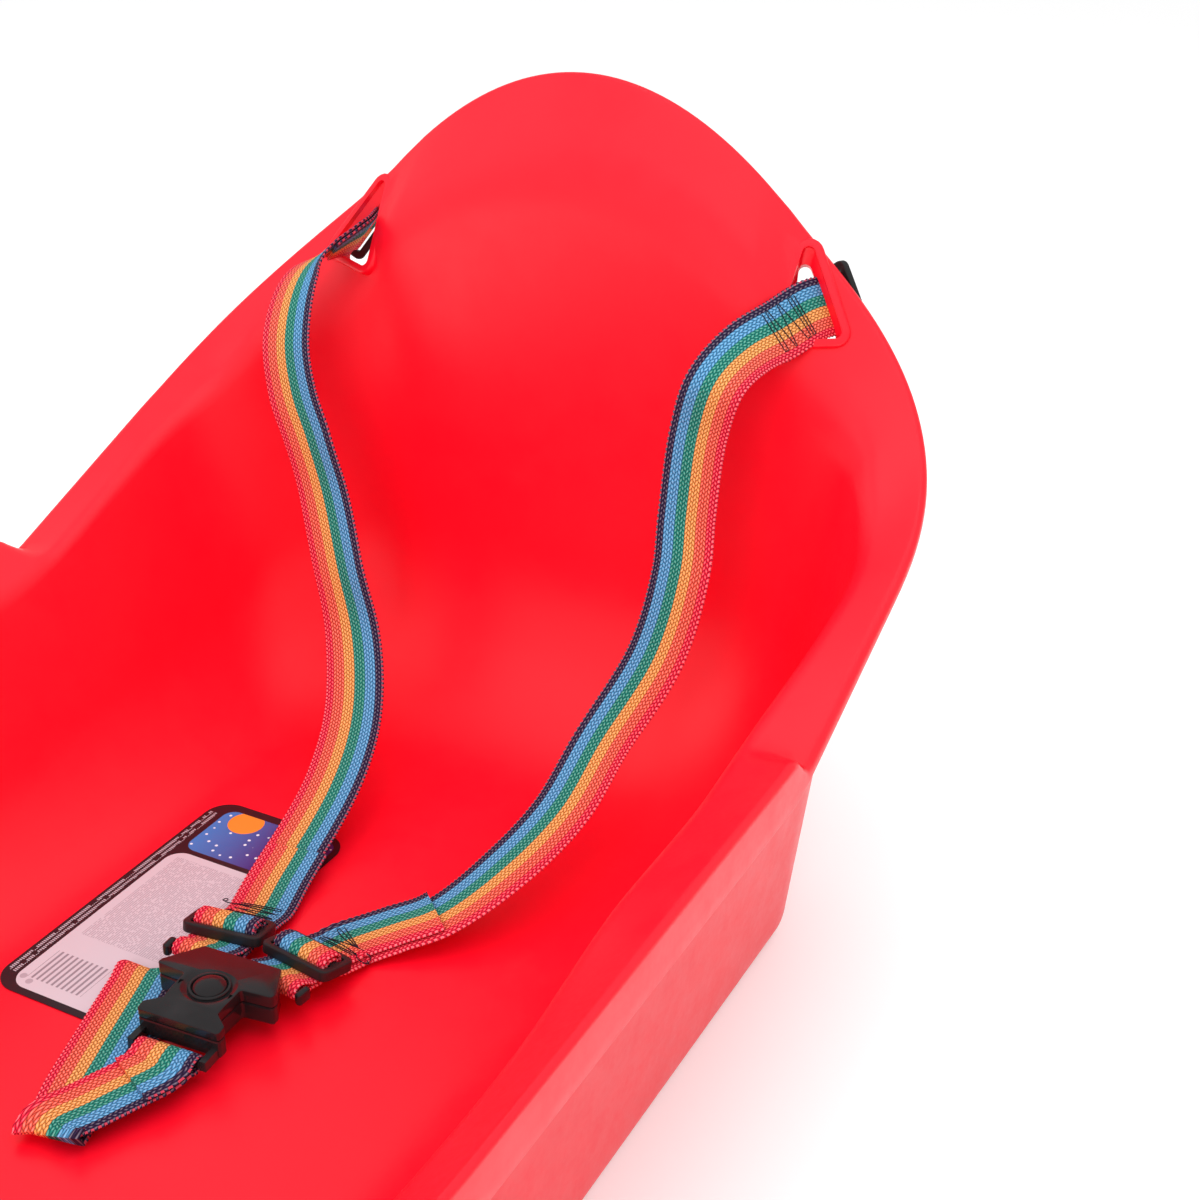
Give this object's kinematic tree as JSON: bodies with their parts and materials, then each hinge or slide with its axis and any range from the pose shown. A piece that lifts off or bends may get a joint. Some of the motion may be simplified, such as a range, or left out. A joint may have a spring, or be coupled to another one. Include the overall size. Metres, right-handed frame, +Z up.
{
  "type": "plastic baby sled",
  "caption": "One-piece moulded plastic sled with a raised backrest, armrest flange, runners and a three-point webbing harness with a push-button buckle.",
  "frame": {"origin": "middle of the whole part's box, on the ground under the runners", "axes": "+Z up, -Y toward the nose of the sled, +X toward the seated child's left"},
  "size_m": [0.4008, 0.81, 0.3601],
  "materials": {
    "shell": "glossy moulded polyethylene, bright red",
    "webbing": "ribbed woven webbing with lengthwise rainbow bands",
    "thread": "black sewing thread",
    "fittings": "black moulded plastic",
    "spring": "spring steel wire",
    "label": null
  },
  "bodies": {
    "sled": {"sled_shell": "shell", "shoulder_strap_left": "webbing", "shoulder_strap_right": "webbing", "back_slider_left": "fittings", "back_slider_right": "fittings", "stitching_upper_left": "thread", "stitching_upper_right": "thread", "crotch_strap": "webbing", "crotch_anchor": "fittings", "buckle_base": "fittings", "buckle_cover": "fittings", "button_spring": "spring", "seat_label": "label"},
    "button": {"release_button": "fittings"},
    "tongue_left": {"buckle_tongue_left": "fittings", "strap_adjuster_left": "fittings", "stitching_lower_left": "thread"},
    "tongue_right": {"buckle_tongue_right": "fittings", "strap_adjuster_right": "fittings", "stitching_lower_right": "thread"}
  },
  "joints": [
    {"name": "button_press", "type": "slide", "parent": "sled", "child": "button", "axis": [0, 0, -1], "range_m": [0, 0.002], "stiffness_N_per_m": 250, "springref_m": -0.001, "deforming": ["button_spring"]},
    {"name": "tongue_left_pull", "type": "slide", "parent": "sled", "child": "tongue_left", "axis": [0.0872, 0.9962, 0], "range_m": [0, 0.018], "deforming": ["shoulder_strap_left"]},
    {"name": "tongue_right_pull", "type": "slide", "parent": "sled", "child": "tongue_right", "axis": [-0.0872, 0.9962, 0], "range_m": [0, 0.018], "deforming": ["shoulder_strap_right"]}
  ]
}
